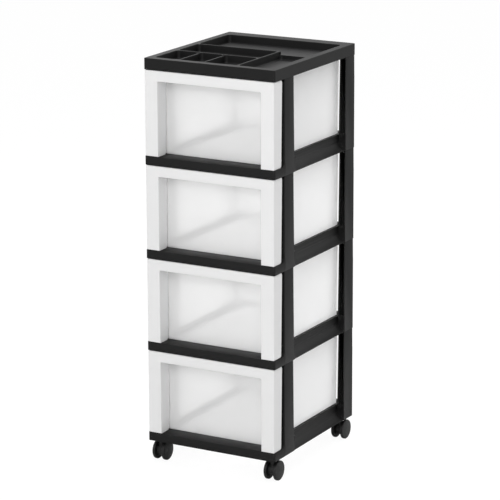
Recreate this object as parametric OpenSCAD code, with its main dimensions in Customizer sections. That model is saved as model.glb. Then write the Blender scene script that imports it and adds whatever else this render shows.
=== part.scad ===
// Plastic drawer tower: four stacking frames, four pull-out drawers, a tray top and four casters.
// Millimetres. +X is to the right, +Y to the back, +Z up.
// The origin is the centre of the footprint, on the floor.

/* [Tower] */
// Overall width
tower_w = 310; // [290:1:360]
// Overall depth
tower_d = 362; // [340:1:440]
// Height from one frame to the next
level_h = 203; // [160:0.5:260]
// Radius of the upright outer corners
corner_r = 4; // [2:0.5:8]

/* [Frame] */
// Wall of the frames
frame_t = 3; // [2.5:0.1:4]
// Height of the front lip
lip_h = 19; // [14:1:26]
// Depth of the front bar behind the lip
bar_d = 40; // [34:1:60]
// Depth of the rear bar
rear_bar_d = 20; // [12:1:30]
// Height of the rear bar's underside above the frame's underside
rear_bar_lift = 4; // [0:1:10]
// How far the rear bar's back lies inside the posts' back at their top
rear_bar_set = 0.5; // [0.2:0.1:2]
// Thickness of a post across the tower, at its foot
post_t = 17.5; // [14:0.5:22]
// Width of a post along the tower, at its foot
post_w = 42.5; // [34:0.5:52]
// How far each face of a post leans in by its top
post_draft = 1.5; // [0:0.1:2]
// Distance from the front face to the front posts
post_set = 43.5; // [42:0.5:56]
// Radius between the lip's top and the front post
lip_fillet = 8; // [4:0.5:12]
// How far the front post's foot reaches back beside the band
knee = 6; // [3:0.5:10]

/* [Side bands] */
// Height of the side bands and of the rear bar
band_h = 33; // [24:1:40]
// Height of the band's underside above the frame's underside
band_lift = 0; // [0:0.5:5]
// Distance from the side face to the drawer guide, the band's inner face
guide_in = 27; // [25:0.5:34]
// Width of the ledge along the band's top
ledge_w = 7; // [5:0.5:9]
// Radius of the band's scoop
scoop_r = 31; // [30:1:60]
// Distance from the band's top to the scoop's centre
scoop_drop = 4; // [2:0.5:8]
// Width of the runner ledge under a drawer's edge
runner_w = 20; // [12:1:30]

/* [Plugs] */
// Height of the peg on each post
peg_h = 14; // [8:1:18]
// Wall of a peg
peg_t = 2; // [1.5:0.1:3]
// Clearance around a peg in its socket
peg_gap = 0.25; // [0.15:0.05:0.5]
// Clearance above a peg in the organizer top
socket_gap = 1; // [0.5:0.1:2]

/* [Organizer top] */
// Height of the skirt
tray_h = 24; // [22:0.5:40]
// Wall of the organizer top
tray_t = 2.5; // [2:0.1:3]
// Width of the rim at the sides
rim_side = 17; // [15:0.5:22]
// Width of the rim at the front
rim_front = 18; // [12:0.5:26]
// Width of the rim at the back
rim_rear = 33; // [16:0.5:36]
// Depth of the compartments
cell_depth = 18; // [12:0.5:19]
// Radius of the compartments' upright corners
cell_r = 8; // [4:0.5:12]
// Width of a divider at its top
divider_w = 4.5; // [3:0.5:7]
// Width of the two small dividers at their tops
small_divider_w = 3; // [1.5:0.5:4]
// How far the small dividers stop below the rim
small_divider_drop = 1.5; // [0.5:0.5:6]
// Distance from the left face to the first small divider
small_1_x = 72; // [50:1:90]
// Distance from the left face to the second small divider
small_2_x = 131; // [105:1:150]
// Distance from the left face to the divider beside the long compartment
long_divider_x = 213; // [190:0.5:240]
// Distance from the front face to the divider behind the small compartments
mid_divider_y = 112; // [90:1:125]
// Distance from the front face to the divider behind the wide compartment
rear_divider_y = 199; // [170:1:220]
// How far the divider behind the long compartment stops below the rim
low_divider_drop = 7; // [4:0.5:11]

/* [Drawers] */
// Wall of the drawers
drawer_t = 2.2; // [1.8:0.1:2.8]
// Depth of the drawer's front frame
hood_d = 36.5; // [30:0.5:38]
// How far the front frame's sides lie inside the tower's sides
hood_in = 2; // [1.5:0.5:4]
// Width of the front frame's uprights
stile_w = 30.5; // [26:0.5:36]
// Height of the front frame's top bar
top_bar_h = 22.5; // [16:0.5:32]
// How far the front frame's sides are cut back at their foot
hood_lean = 3.5; // [0:0.5:6]
// Radius of the front frame's rear corners
hood_r = 5; // [2:0.5:8]
// Radius of the front frame's upright front edges
hood_edge_r = 2; // [1:0.5:4]
// How far the recess widens from the face to the window, each side
recess_draft = 2; // [0:0.1:2.3]
// How far the box widens from its floor to its rim, each side
box_draft = 2; // [0.5:0.1:3]
// Distance from the box's rim to the underside of the frame above
rim_drop = 6; // [4:0.5:20]
// Width of the rim around the box
box_rim_w = 3; // [2:0.5:4]
// How far a drawer pulls out
drawer_travel = 250; // [150:1:270]
// Clearance left between a stop lug and the front bar at the end of the travel
stop_gap = 1; // [0.3:0.1:2]
// Height of the stop lugs under a drawer
lug_h = 6; // [4:0.5:9]
// Width of a stop lug
lug_w = 16; // [8:1:24]
// Thickness of a stop lug
lug_t = 4; // [2.5:0.5:6]
// Clearance between a stop lug and the runner beside it
lug_gap = 2; // [1:0.5:4]
// Clearance between a drawer's floor and the runners
seat_gap = 0.3; // [0.2:0.05:0.5]
// Clearance between a drawer's floor and each guide
side_gap = 2.8; // [1.5:0.1:4]
// Clearance behind a closed drawer
back_gap = 0.6; // [0.4:0.1:2]
// Clearance above a drawer's front frame
hood_gap = 1; // [0.6:0.1:2]

/* [Casters] */
// Wheel diameter
wheel_d = 43; // [36:0.5:60]
// Thickness of one wheel
wheel_t = 7.5; // [6:0.5:10]
// Distance between the two wheels of a caster
wheel_gap = 16; // [10:0.5:16]
// Wall of a wheel outside its blind bore
wheel_wall = 2.2; // [1.5:0.1:3]
// Height of a wheel's domed face
wheel_dome = 1.2; // [0.5:0.1:2]
// Radius of a wheel's two edges
wheel_edge = 1.5; // [0.8:0.1:2.5]
// Width of the flat ring round a wheel's dome
wheel_ring = 1; // [0.5:0.1:3]
// Diameter of the hub part of the hood, between the wheels
hood_d_hub = 27; // [22:0.5:32]
// Diameter of the swivel disc on the hood
swivel_disc_d = 22; // [18:0.5:26]
// Thickness of the swivel disc
swivel_disc_t = 1.1; // [1:0.1:3]
// Clearance between the swivel disc and the boss above it
disc_gap = 0.3; // [0.1:0.05:0.5]
// How far the axle trails behind the stem
trail = 4; // [3:0.5:8]
// Distance from the side face to a stem
caster_in_x = 18; // [17:0.5:24]
// Distance from the front or back face to a stem
caster_in_y = 25.5; // [25:0.5:30]
// Diameter of the boss that holds a socket
boss_d = 27; // [20:0.5:30]
// How far the boss hangs below the base frame
boss_drop = 4; // [2:0.5:6]
// Stem diameter
stem_d = 8; // [6:0.5:9]
// Length of the stem inside the socket
stem_l = 18; // [12:0.5:19]
// Wall of the socket sleeve
sleeve_t = 1.5; // [1:0.1:2]
// Axle diameter
axle_d = 5; // [4:0.5:7]
// Running clearance of the stem in its sleeve and of the wheels on their axle
run_gap = 0.05; // [0.02:0.01:0.1]
// Gap between parts that pass each other in a caster
pass_gap = 0.5; // [0.3:0.1:1]

/* [Hidden] */
$fn = 64;
LEVELS = 4;
CORNERS = ["fl", "fr", "rl", "rr"];

frame_colour = "#303030";
drawer_colour = "#e8eaea";
steel_colour = "#9a9a9a";

half_w = tower_w / 2;
half_d = tower_d / 2;
eps = 0.01;

// heights
disc_top = wheel_d + pass_gap + swivel_disc_t;
boss_z = disc_top + disc_gap;
base_z = boss_z + boss_drop;
tray_z = base_z + LEVELS * level_h;

// posts: each row is [front face y, rear face y] at the foot
front_post = [-half_d + post_set, -half_d + post_set + post_w];
rear_post = [half_d - post_w, half_d];
post_x = half_w - post_t;

// the space that a drawer runs in
guide_x = half_w - guide_in;
rear_bar_y = half_d - rear_bar_d;
bar_rear_y = -half_d + bar_d;

// drawer
box_x = guide_x - side_gap;
box_front = -half_d + hood_d;
box_rear = rear_bar_y - back_gap - box_draft;
box_h = level_h - lip_h - seat_gap - rim_drop;
hood_x = half_w - hood_in;
hood_h = level_h - lip_h - seat_gap - hood_gap;
recess_x = hood_x - stile_w;
recess_top = hood_h - top_bar_h;
lug_x = guide_x - runner_w - lug_gap;
lug_y = bar_rear_y + drawer_travel + stop_gap;

// caster
wheel_r = wheel_d / 2;
stem_x = half_w - caster_in_x;
stem_y = half_d - caster_in_y;
sleeve_d = stem_d + 2 * run_gap + 2 * sleeve_t;
end_gap = 0.3;
sleeve_l = stem_l + end_gap + sleeve_t;
bore_l = wheel_t - wheel_dome - wheel_wall + end_gap;
axle_l = wheel_gap + 2 * (bore_l - end_gap);

// ---- shapes -------------------------------------------------------------------------------

// outline of y and z points, drawn out along x
module prism_x(width, points)
    rotate([90, 0, 90])
        linear_extrude(width, center = true)
            polygon(points);

// block from z0 to z1 whose four sides lean: lean is [left, right, front, back], inward positive
module leaning_block(x0, x1, y0, y1, z0, z1, lean = [0, 0, 0, 0]) {
    reach = 3 * max(abs(x0), abs(x1), abs(y0), abs(y1));
    intersection() {
        rotate([90, 0, 0])
            linear_extrude(reach, center = true)
                polygon([[x0, z0], [x1, z0], [x1 - lean[1], z1], [x0 + lean[0], z1]]);
        prism_x(reach, [[y0, z0], [y1, z0], [y1 - lean[3], z1], [y0 + lean[2], z1]]);
    }
}

module box(x0, x1, y0, y1, z0, z1)
    translate([x0, y0, z0])
        cube([x1 - x0, y1 - y0, z1 - z0]);

// rectangle with round corners
module round_rect(x0, x1, y0, y1, r) {
    translate([x0 + r, y0])
        square([x1 - x0 - 2 * r, y1 - y0]);
    translate([x0, y0 + r])
        square([x1 - x0, y1 - y0 - 2 * r]);
    for (x = [x0 + r, x1 - r], y = [y0 + r, y1 - r])
        translate([x, y])
            circle(r);
}

// plan of the tower
module plan()
    round_rect(-half_w, half_w, -half_d, half_d, corner_r);

// keeps both copies: the child and its mirror image across the middle of the tower
module both_sides() {
    children();
    mirror([1, 0, 0])
        children();
}

// ---- frames -------------------------------------------------------------------------------

// outside of a post, or its inside when wall is set
module post_block(y_range, wall = 0, top = level_h) {
    lean = post_draft * top / level_h;
    leaning_block(post_x + wall, half_w - wall, y_range[0] + wall, y_range[1] - wall,
                  0, top, [lean, lean, lean, lean]);
}

// peg on a post's top, for the socket above it
module peg(y_range) {
    inset = frame_t + peg_gap;
    foot = max(inset, post_draft + frame_t / 2);
    difference() {
        box(post_x + foot, half_w - foot, y_range[0] + foot, y_range[1] - foot,
            level_h - eps, level_h + peg_h);
        box(post_x + foot + peg_t, half_w - foot - peg_t,
            y_range[0] + foot + peg_t, y_range[1] - foot - peg_t,
            level_h + peg_t, level_h + peg_h + 1);
    }
}

module post(y_range) {
    difference() {
        post_block(y_range);
        translate([0, 0, -eps])
            post_block(y_range, frame_t, level_h - frame_t);
    }
    peg(y_range);
}

// front bar with its lip and the parts that run back to the front posts
module front_bar() {
    difference() {
        box(-half_w, half_w, -half_d, bar_rear_y, 0, lip_h);
        box(-half_w + frame_t, half_w - frame_t, -half_d + frame_t, bar_rear_y - frame_t,
            -1, lip_h - frame_t);
    }
    both_sides()
        box(post_x, half_w, bar_rear_y - frame_t, front_post[0] + frame_t, 0, lip_h);
}

// curve between the lip's top and the front post
module lip_curve()
    translate([post_x + post_t / 2, front_post[0] - lip_fillet, lip_h])
        rotate([90, 0, 90])
            linear_extrude(post_t, center = true)
                difference() {
                    translate([0, -frame_t / 2])
                        square([lip_fillet + frame_t, lip_fillet + frame_t / 2]);
                    translate([0, lip_fillet])
                        circle(lip_fillet);
                }

// section of the side band: guide wall, ledge and scooped skin
module band_section()
    difference() {
        translate([guide_x, band_lift])
            square([guide_in - post_draft, band_h - band_lift]);
        translate([guide_x + ledge_w + scoop_r, band_h - scoop_drop])
            circle(scoop_r, $fn = 128);
        difference() {
            translate([guide_x + frame_t, -1])
                square([guide_in, band_h + 1 - frame_t]);
            translate([guide_x + ledge_w + scoop_r, band_h - scoop_drop])
                circle(scoop_r + frame_t, $fn = 128);
        }
    }

module band() {
    y0 = front_post[1] - frame_t;
    difference() {
        translate([0, rear_bar_y + frame_t, 0])
            rotate([90, 0, 0])
                linear_extrude(rear_bar_y + frame_t - y0)
                    band_section();
        // the post's own hollow stays open
        translate([0, 0, -eps])
            post_block(rear_post, frame_t, level_h - frame_t);
        box(post_x, half_w + 1, rear_post[0] + frame_t, half_d, -1, level_h);
    }
}

// foot of the front post beside the band
module post_knee()
    difference() {
        box(guide_x, half_w - post_draft / 2, front_post[1] - frame_t, front_post[1] + knee,
            band_lift, band_h);
        box(guide_x + frame_t, half_w - post_draft / 2 - frame_t, front_post[1] - frame_t - 1,
            front_post[1] + knee - frame_t, -1, band_h - frame_t);
    }

module runner()
    box(guide_x - runner_w, guide_x + frame_t / 2, bar_rear_y - frame_t, rear_bar_y + frame_t,
        lip_h - frame_t, lip_h);

module rear_bar() {
    back_y = half_d - post_draft - rear_bar_set;
    difference() {
        box(-post_x - frame_t, post_x + frame_t, rear_bar_y, back_y, rear_bar_lift, band_h);
        box(-post_x + frame_t, post_x - frame_t, rear_bar_y + frame_t, back_y - frame_t,
            -1, band_h - frame_t);
        both_sides()
            translate([0, 0, -eps])
                post_block(rear_post, frame_t, level_h - frame_t);
    }
}

module frame_body()
    intersection() {
        union() {
            front_bar();
            rear_bar();
            both_sides() {
                post(front_post);
                post(rear_post);
                lip_curve();
                band();
                post_knee();
                runner();
            }
        }
        translate([0, 0, -1])
            linear_extrude(level_h + peg_h + 2)
                plan();
    }

// centres of the four stems, front left first
stems = [[-stem_x, -stem_y], [stem_x, -stem_y], [-stem_x, stem_y], [stem_x, stem_y]];

module base_frame()
    difference() {
        union() {
            frame_body();
            // plates that carry the rear bosses
            both_sides()
                box(guide_x - runner_w, post_x + frame_t, stem_y - boss_d / 2 - frame_t,
                    rear_bar_y + frame_t, lip_h - frame_t, lip_h);
            for (s = stems)
                translate([s[0], s[1], -boss_drop])
                    cylinder(boss_drop + lip_h, d = boss_d);
        }
        for (s = stems)
            translate([s[0], s[1], -boss_drop - 1])
                cylinder(sleeve_l + 1, d = sleeve_d);
    }

module frame(level)
    color(frame_colour)
        translate([0, 0, base_z + (level - 1) * level_h])
            if (level == 1)
                base_frame();
            else
                frame_body();

// ---- organizer top ------------------------------------------------------------------------

cell_x0 = -half_w + rim_side;
cell_x1 = half_w - rim_side;
cell_y0 = -half_d + rim_front;
cell_y1 = half_d - rim_rear;
long_x = -half_w + long_divider_x;
mid_y = -half_d + mid_divider_y;
rear_y = -half_d + rear_divider_y;
small_x = [-half_w + small_1_x, -half_w + small_2_x];
// how far one cut reaches past another where their walls would lie on each other
seam = 0.1;

// each row is [x0, x1, y0, y1] of a compartment
cells = [
    [cell_x0, small_x[0] - small_divider_w / 2, cell_y0, mid_y - divider_w / 2],
    [small_x[0] + small_divider_w / 2, small_x[1] - small_divider_w / 2,
        cell_y0, mid_y - divider_w / 2],
    [small_x[1] + small_divider_w / 2, long_x - divider_w / 2, cell_y0, mid_y - divider_w / 2],
    [cell_x0, long_x - divider_w / 2, mid_y + divider_w / 2, rear_y - divider_w / 2],
    [long_x + divider_w / 2, cell_x1, cell_y0, rear_y - divider_w / 2],
    [cell_x0, cell_x1, rear_y + divider_w / 2, cell_y1]
];

// hollow of a compartment with round upright corners, or its outside when wall is set
module cell(c, depth = cell_depth, wall = 0)
    translate([0, 0, tray_h - depth - wall])
        linear_extrude(depth + wall + (wall > 0 ? 0 : eps))
            round_rect(c[0] - wall, c[1] + wall, c[2] - wall, c[3] + wall, cell_r + wall);

// space above the low divider, from the long compartment to the area behind it
module low_divider_gap()
    box(long_x + divider_w / 2 - seam, cell_x1 + seam,
        rear_y - divider_w / 2 - cell_r, rear_y + divider_w / 2 + cell_r,
        tray_h - low_divider_drop, tray_h + eps);

// socket block in a corner of the organizer top
module tray_socket(y_range)
    intersection() {
        difference() {
            box(post_x, half_w, y_range[0], y_range[1], 0, tray_h);
            box(post_x + frame_t, half_w - frame_t, y_range[0] + frame_t, y_range[1] - frame_t,
                -1, peg_h + socket_gap);
        }
        linear_extrude(tray_h)
            plan();
    }

module organizer_top()
    color(frame_colour)
        translate([0, 0, tray_z])
            difference() {
                union() {
                    difference() {
                        linear_extrude(tray_h)
                            plan();
                        box(-half_w + tray_t, half_w - tray_t, -half_d + tray_t, half_d - tray_t,
                            -1, tray_h - tray_t);
                    }
                    both_sides() {
                        tray_socket(front_post);
                        tray_socket(rear_post);
                    }
                    for (c = cells)
                        cell(c, wall = tray_t);
                }
                for (c = cells)
                    cell(c);
                // the two small dividers stop below the rim
                cell([cell_x0 - seam, long_x - divider_w / 2 + seam,
                      cell_y0 - seam, mid_y - divider_w / 2 + seam], small_divider_drop);
                low_divider_gap();
            }

// ---- drawers ------------------------------------------------------------------------------

// side view of the front frame: its rear edge leans, its two rear corners are round
module hood_side() {
    y0 = -half_d;
    y1 = box_front;
    r = hood_r;
    difference() {
        polygon([[y0, 0], [y1 - hood_lean, 0], [y1, hood_h], [y0, hood_h]]);
        translate([y1 - hood_lean - r, 0])
            difference() {
                square([r + hood_lean + 1, r]);
                translate([0, r])
                    circle(r);
                translate([-1, -1])
                    square([1, r + 2]);
            }
        translate([y1 - r, hood_h - r])
            difference() {
                square(r + 1);
                circle(r);
            }
    }
}

module hood()
    intersection() {
        rotate([90, 0, 90])
            linear_extrude(2 * hood_x, center = true)
                hood_side();
        translate([0, 0, -1])
            linear_extrude(hood_h + 2)
                union() {
                    translate([-hood_x + hood_edge_r, -half_d])
                        square([2 * (hood_x - hood_edge_r), hood_d + 1]);
                    translate([-hood_x, -half_d + hood_edge_r])
                        square([2 * hood_x, hood_d]);
                    for (s = [-1, 1])
                        translate([s * (hood_x - hood_edge_r), -half_d + hood_edge_r])
                            circle(hood_edge_r);
                }
    }

// walls between the recess and the front frame's hollow, back to the window
module recess_walls()
    box(-recess_x - recess_draft - drawer_t, recess_x + recess_draft + drawer_t,
        -half_d + drawer_t / 2, box_front + drawer_t, 0, recess_top + drawer_t);

// hollow of the front frame, open to the back
module hood_hollow() {
    t = drawer_t;
    both_sides()
        box(recess_x + recess_draft + t, hood_x - t, -half_d + t, box_front + 1, t, hood_h - t);
    box(-hood_x + t, hood_x - t, -half_d + t, box_front + 1, recess_top + t, hood_h - t);
}

// hollow in front of the window
module recess()
    intersection() {
        linear_extrude(recess_top)
            polygon([
                [-recess_x, -half_d - eps], [recess_x, -half_d - eps],
                [recess_x + recess_draft, box_front], [-recess_x - recess_draft, box_front]
            ]);
        translate([0, 0, -1])
            box(-half_w, half_w, -half_d - 1, box_front, 0, recess_top + 1);
    }

module drawer_box_outer() {
    lean = -box_draft;
    rim_x = box_x + box_draft + box_rim_w;
    leaning_block(-box_x, box_x, box_front, box_rear, 0, box_h - drawer_t / 2,
                  [lean, lean, 0, lean]);
    // rim round the box
    box(-rim_x, rim_x, box_front, box_rear + box_draft, box_h - drawer_t, box_h);
}

module drawer_box_inner() {
    t = drawer_t;
    lean = -box_draft;
    leaning_block(-box_x + t, box_x - t, box_front + t, box_rear - t, t, box_h + eps,
                  [lean, lean, 0, lean]);
}

// lugs under the floor that meet the front bar at the end of the travel
module stop_lugs()
    both_sides()
        box(lug_x - lug_w, lug_x, lug_y, lug_y + lug_t, -lug_h, drawer_t / 2);

module drawer(level)
    color(drawer_colour)
        translate([0, 0, base_z + (level - 1) * level_h + lip_h + seat_gap]) {
            difference() {
                union() {
                    difference() {
                        hood();
                        hood_hollow();
                    }
                    recess_walls();
                    drawer_box_outer();
                }
                recess();
                drawer_box_inner();
            }
            stop_lugs();
        }

// ---- casters ------------------------------------------------------------------------------

// moves a caster part from the stem's axis to its corner
module at_corner(corner) {
    s = stems[search([corner], CORNERS)[0]];
    translate([s[0], s[1], 0])
        children();
}

module caster_sleeve()
    color(steel_colour)
        translate([0, 0, boss_z])
            difference() {
                cylinder(sleeve_l, d = sleeve_d);
                translate([0, 0, -1])
                    cylinder(stem_l + end_gap + 1, d = stem_d + 2 * run_gap);
            }

module caster_stem()
    color(steel_colour)
        translate([0, 0, wheel_r + hood_d_hub / 4])
            cylinder(boss_z + stem_l - wheel_r - hood_d_hub / 4, d = stem_d);

// hood between the wheels: hub round the axle, neck and swivel disc round the stem
module caster_hood() {
    body_w = wheel_gap - 2 * pass_gap;
    color(frame_colour)
        difference() {
            union() {
                translate([0, trail, wheel_r])
                    rotate([0, 90, 0])
                        cylinder(body_w, d = hood_d_hub, center = true);
                intersection() {
                    cylinder(disc_top, d = hood_d_hub - trail);
                    translate([0, 0, wheel_r + disc_top / 2])
                        cube([body_w, hood_d_hub, disc_top], center = true);
                }
                translate([0, 0, disc_top - swivel_disc_t])
                    cylinder(swivel_disc_t, d = swivel_disc_d);
            }
            translate([0, 0, wheel_r + hood_d_hub / 4])
                cylinder(disc_top, d = stem_d);
            translate([0, trail, wheel_r])
                rotate([0, 90, 0])
                    cylinder(wheel_gap, d = axle_d, center = true);
        }
}

module caster_axle()
    color(steel_colour)
        translate([0, trail, wheel_r])
            rotate([0, 90, 0])
                cylinder(axle_l, d = axle_d, center = true);

// one wheel on the +X side: round tread edges, a domed face, a blind bore
module caster_wheel()
    color(frame_colour)
        translate([wheel_gap / 2, trail, wheel_r])
            rotate([0, 90, 0])
                difference() {
                    rotate_extrude($fn = 96)
                        wheel_section();
                    translate([0, 0, -1])
                        cylinder(1 + bore_l, d = axle_d + 2 * run_gap);
                }

// radius to the right, thickness up: the domed face is an arc over the inner nine tenths
module wheel_section() {
    edge = wheel_edge;
    face_r = wheel_r - edge - wheel_ring;
    flat_t = wheel_t - wheel_dome;
    dome_r = (face_r * face_r + wheel_dome * wheel_dome) / (2 * wheel_dome);
    square([wheel_r - edge, flat_t]);
    translate([0, edge])
        square([wheel_r, flat_t - 2 * edge]);
    for (z = [edge, flat_t - edge])
        translate([wheel_r - edge, z])
            circle(edge);
    intersection() {
        translate([0, wheel_t - dome_r])
            circle(dome_r, $fn = 256);
        translate([0, flat_t - eps])
            square([face_r, wheel_dome + 1]);
    }
}

organizer_top();
for (i = [1:LEVELS]) {
    frame(i);
    drawer(i);
}
for (c = CORNERS) {
    at_corner(c) caster_sleeve();
    at_corner(c) caster_stem();
    at_corner(c) caster_hood();
    at_corner(c) caster_axle();
    at_corner(c) mirror([1, 0, 0]) caster_wheel();
    at_corner(c) caster_wheel();
}
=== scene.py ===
# %% [markdown]
# # A plastic drawer tower
# Four black frames stack on each other. A frosted drawer slides in each, an organizer tray
# closes the top, and four twin-wheel casters carry it all. The tower was constructed as solids
# first. This lesson loads those solids as a fixed frame and dresses them: round edges, coved
# compartments, moulded plastic and light. Every length here is in metres.

# %% Load the frame
import math
import bmesh
import bpy
from mathutils import Matrix, Vector


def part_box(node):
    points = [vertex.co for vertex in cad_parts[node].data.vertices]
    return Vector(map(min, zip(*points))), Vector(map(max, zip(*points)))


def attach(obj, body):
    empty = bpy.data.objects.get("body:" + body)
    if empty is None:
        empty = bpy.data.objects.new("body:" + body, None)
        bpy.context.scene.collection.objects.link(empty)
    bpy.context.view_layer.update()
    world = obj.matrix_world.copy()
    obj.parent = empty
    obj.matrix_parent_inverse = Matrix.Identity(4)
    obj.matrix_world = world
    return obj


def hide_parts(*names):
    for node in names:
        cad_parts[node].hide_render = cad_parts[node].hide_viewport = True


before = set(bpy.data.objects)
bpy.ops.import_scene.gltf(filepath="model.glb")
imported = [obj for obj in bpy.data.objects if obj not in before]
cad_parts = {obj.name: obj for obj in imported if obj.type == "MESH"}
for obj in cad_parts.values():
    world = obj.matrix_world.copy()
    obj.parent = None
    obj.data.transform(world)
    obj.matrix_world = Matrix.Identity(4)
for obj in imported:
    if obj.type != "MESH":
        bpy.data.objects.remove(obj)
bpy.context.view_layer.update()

MM = 0.001
scene = bpy.context.scene

# %% [markdown]
# ## Camera
# A long lens a few metres away keeps the uprights nearly parallel, as in a catalogue picture of
# furniture. The camera is placed by angles round the tower, because those are what one sees:
# how far round it stands, how high it looks from, and how far away it is. Building its matrix
# from those angles leaves no guessing with a Track To constraint.

# %% Camera
AZIMUTH, ELEVATION, ROLL = (math.radians(a) for a in (29.09, 14.679, -0.17))
DISTANCE = 5.501598
LOOK_AT = Vector((0, 0, 0.450))
SLIDE = (-3.382 * MM, 0.049 * MM)
FOCAL_PIXELS = 2558.771
IMAGE_SIDE = 500


def place_camera():
    back = Vector((math.sin(AZIMUTH) * math.cos(ELEVATION),
                   -math.cos(AZIMUTH) * math.cos(ELEVATION), math.sin(ELEVATION)))
    level_right = Vector((math.cos(AZIMUTH), math.sin(AZIMUTH), 0))
    level_up = back.cross(level_right)
    right = math.cos(ROLL) * level_right + math.sin(ROLL) * level_up
    up = math.cos(ROLL) * level_up - math.sin(ROLL) * level_right
    place = LOOK_AT + back * DISTANCE + right * SLIDE[0] + up * SLIDE[1]
    camera = bpy.data.objects.new("camera", bpy.data.cameras.new("camera"))
    camera.data.sensor_width = 36
    camera.data.lens = FOCAL_PIXELS * camera.data.sensor_width / IMAGE_SIDE
    camera.matrix_world = Matrix((
        (right.x, up.x, back.x, place.x), (right.y, up.y, back.y, place.y),
        (right.z, up.z, back.z, place.z), (0, 0, 0, 1)))
    scene.collection.objects.link(camera)
    scene.camera = camera
    return camera


camera = place_camera()
print("lens:", round(camera.data.lens, 1), "mm")

# %% [markdown]
# ## A board for nodes
# Materials and Geometry Nodes are both trees of nodes. Written out with links and sockets they
# are hard to read, so a small class wraps one socket and lets Python's own operators add the
# Math nodes: `1 - mask * 0.5` reads as what it does. One method adds every other node.

# %% Signals and boards
class Signal:
    """One output socket. Arithmetic on it adds Math nodes to its board."""

    def __init__(self, board, socket):
        self.board, self.socket = board, socket

    def _math(self, operation, left, right=None):
        return self.board.node("ShaderNodeMath", {"operation": operation},
                               [left] if right is None else [left, right])

    def __add__(self, other):
        return self._math("ADD", self, other)

    def __sub__(self, other):
        return self._math("SUBTRACT", self, other)

    def __rsub__(self, other):
        return self._math("SUBTRACT", other, self)

    def __mul__(self, other):
        return self._math("MULTIPLY", self, other)

    def __truediv__(self, other):
        return self._math("DIVIDE", self, other)

    def __gt__(self, other):
        return self._math("GREATER_THAN", self, other)

    def __floordiv__(self, other):
        return self._math("FLOOR", self / other)

    def at_least(self, other):
        return self._math("MAXIMUM", self, other)

    def sign(self):
        return self._math("SIGN", self)

    def sine(self):
        return self._math("SINE", self)

    def cosine(self):
        return self._math("COSINE", self)

    __radd__ = __add__
    __rmul__ = __mul__


class Board:
    """A tree of nodes, and the one method that adds a node to it."""

    def __init__(self, tree):
        self.tree = tree

    def node(self, kind, settings=None, sockets=(), output=0):
        """Adds a node: its settings first, then values or Signals for its input sockets."""
        made = self.tree.nodes.new(kind)
        for name, value in (settings or {}).items():
            if name == "stops":
                ramp = made.color_ramp.elements
                while len(ramp) < len(value):
                    ramp.new(1)
                for stop, (place, shade) in zip(ramp, value):
                    stop.position, stop.color = place, (shade, shade, shade, 1)
            elif name == "items":
                for _ in range(value - len(made.index_switch_items)):
                    made.index_switch_items.new()
            else:
                setattr(made, name, value)
        pairs = sockets.items() if isinstance(sockets, dict) else enumerate(sockets)
        for key, value in pairs:
            if isinstance(value, Signal):
                self.tree.links.new(value.socket, made.inputs[key])
            elif value is not None:
                made.inputs[key].default_value = value
        return Signal(self, made.outputs[output] if len(made.outputs) else None)

    def outputs(self, kind):
        """Adds a node and gives all its outputs by name."""
        made = self.node(kind).socket.node
        return {socket.name: Signal(self, socket) for socket in made.outputs}

    def choose(self, index, values):
        """The value whose place in the list is the index."""
        return self.node("GeometryNodeIndexSwitch", {"data_type": "FLOAT", "items": len(values)},
                         [index] + list(values))


print("node board ready")

# %% [markdown]
# ## Moulded plastic
# The frames, tray and casters are black polypropylene with a satin grain: almost no colour of
# its own, and a soft sheen that grows towards the edges of view. The sheen is what draws the
# shapes, so the roughness carries most of the detail: broad flow marks from the mould and a
# fine grain in the bump. A noise pattern on Object coordinates stays put on a moving piece.

# %% Black plastic
def surface(name):
    """A new material with an empty board."""
    material = bpy.data.materials.new(name)
    material.use_nodes = True
    material.node_tree.nodes.clear()
    return material, Board(material.node_tree)


def object_place(board):
    """Coordinates that stay with the piece: the Object output of a Texture Coordinate node."""
    return board.node("ShaderNodeTexCoord", output=3)


def noise(board, per_metre, detail=2.0):
    return board.node("ShaderNodeTexNoise", {"noise_dimensions": "3D"},
                      {"Vector": object_place(board), "Scale": per_metre, "Detail": detail})


def grain(board, per_metre, depth, strength):
    """A bump from a fine noise, depth in metres."""
    return board.node("ShaderNodeBump", None,
                      {"Height": noise(board, per_metre, detail=3.0), "Distance": depth,
                       "Strength": strength})


def finish_surface(material, board, sockets):
    shader = board.node("ShaderNodeBsdfPrincipled", None, sockets)
    board.node("ShaderNodeOutputMaterial", None, [shader])
    return material


def shades(board, factor, dark, light):
    """A grey that runs from dark to light with the factor."""
    return board.node("ShaderNodeValToRGB", {"stops": [(0.3, dark), (0.7, light)]}, [factor])


def black_plastic(name, dark, light, satin, sheen):
    material, board = surface(name)
    flow, fine = noise(board, per_metre=14), noise(board, per_metre=900)
    return finish_surface(material, board, {
        "Base Color": shades(board, flow, dark, light),
        "Roughness": satin + 0.06 * (flow - 0.5) + 0.08 * (fine - 0.5),
        "IOR": 1.49,
        "Specular IOR Level": sheen,
        "Normal": grain(board, per_metre=1600, depth=0.06 * MM, strength=0.3)})


frame_black = black_plastic("frame_satin_black", dark=0.0040, light=0.0055, satin=0.50, sheen=0.21)
wheel_black = black_plastic("wheel_black", dark=0.006, light=0.009, satin=0.46, sheen=0.30)
# the compartment floors: a rougher copy of the black with a lighter base colour, which is painted
# light standing for the top light on the floors
lit_floor_black = black_plastic("floor_painted_light_black", dark=0.030, light=0.036, satin=0.58, sheen=0.30)
print("black plastics:", frame_black.name, wheel_black.name, lit_floor_black.name)

# %% [markdown]
# ## Frosted plastic
# A drawer is one moulding of milky polypropylene. Light passes through its walls and scatters,
# so a black post behind a wall shows as a soft grey shape. Three things make that look: a milky
# Principled shader that is a little see-through, a Translucent one that glows with the light on
# the wall's far side, and shadow rays that pass, so that lamps light the drawer's inside. The
# front frame, whose walls are doubled, passes less and doesn't glow. The window is the clearest
# part, so the dark posts behind the drawer show through it.

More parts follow.
